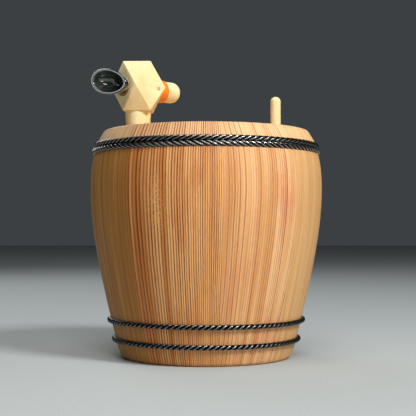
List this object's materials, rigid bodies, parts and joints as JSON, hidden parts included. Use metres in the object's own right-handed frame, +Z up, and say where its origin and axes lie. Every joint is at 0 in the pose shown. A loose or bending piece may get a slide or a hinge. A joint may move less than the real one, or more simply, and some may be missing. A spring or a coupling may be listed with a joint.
{
  "type": "miniature keg",
  "caption": "Small upright wooden keg of curved staves, with a braided and two twisted wire hoops, a faceted wooden tap with a glass spout, and a vent peg.",
  "frame": {"origin": "centre of the keg's bottom end, on its axis, on the surface it stands on", "axes": "+Z up along the keg's axis, -Y the front, +X towards the vent peg's side with the tap on the -X side"},
  "size_m": [0.0886, 0.0888, 0.1115],
  "materials": {
    "fir_heartwood": "sanded, clear oiled, strong growth rings",
    "fir_sapwood": "sanded, clear oiled, faint growth rings",
    "blackened_wire": "blackened, worn bright on the crests",
    "blackened_sleeve": "blackened, satin",
    "basswood": "sanded bare wood",
    "walnut_dowel": "end grain",
    "cork": "ground cork",
    "orange_silicone": "satin",
    "smoked_glass": "polished, dark grey tint"
  },
  "bodies": {
    "cask": {"stave_1": "fir_heartwood", "stave_2": "fir_heartwood", "stave_3": "fir_sapwood", "stave_4": "fir_sapwood", "stave_5": "fir_sapwood", "stave_6": "fir_sapwood", "stave_7": "fir_sapwood", "stave_8": "fir_sapwood", "top_head": "fir_sapwood", "bottom_head": "fir_sapwood", "braided_hoop": "blackened_wire", "upper_wire_hoop": "blackened_wire", "lower_wire_hoop": "blackened_wire", "braid_clasp": "blackened_sleeve", "wire_sleeves": "blackened_sleeve"},
    "tap": {"tap_neck": "basswood", "tap_body": "basswood", "plug_liner": "cork", "tap_pin": "walnut_dowel", "glass_spout": "smoked_glass", "spout_seal": "cork"},
    "plug": {"tap_plug": "basswood", "tap_collar": "orange_silicone", "tap_knob": "basswood"},
    "peg": {"vent_peg": "basswood"}
  },
  "joints": [
    {"name": "tap_lift", "type": "slide", "parent": "cask", "child": "tap", "axis": [0, 0, 1], "range_m": [0, 0.03]},
    {"name": "plug_turn", "type": "hinge", "parent": "tap", "child": "plug", "pos_m": [-0.02578, -0.00768, 0.10178], "axis": [0.7314, 0.682, 0], "range_deg": [0, 90]},
    {"name": "peg_lift", "type": "slide", "parent": "cask", "child": "peg", "axis": [0, 0, 1], "range_m": [0, 0.02]}
  ]
}
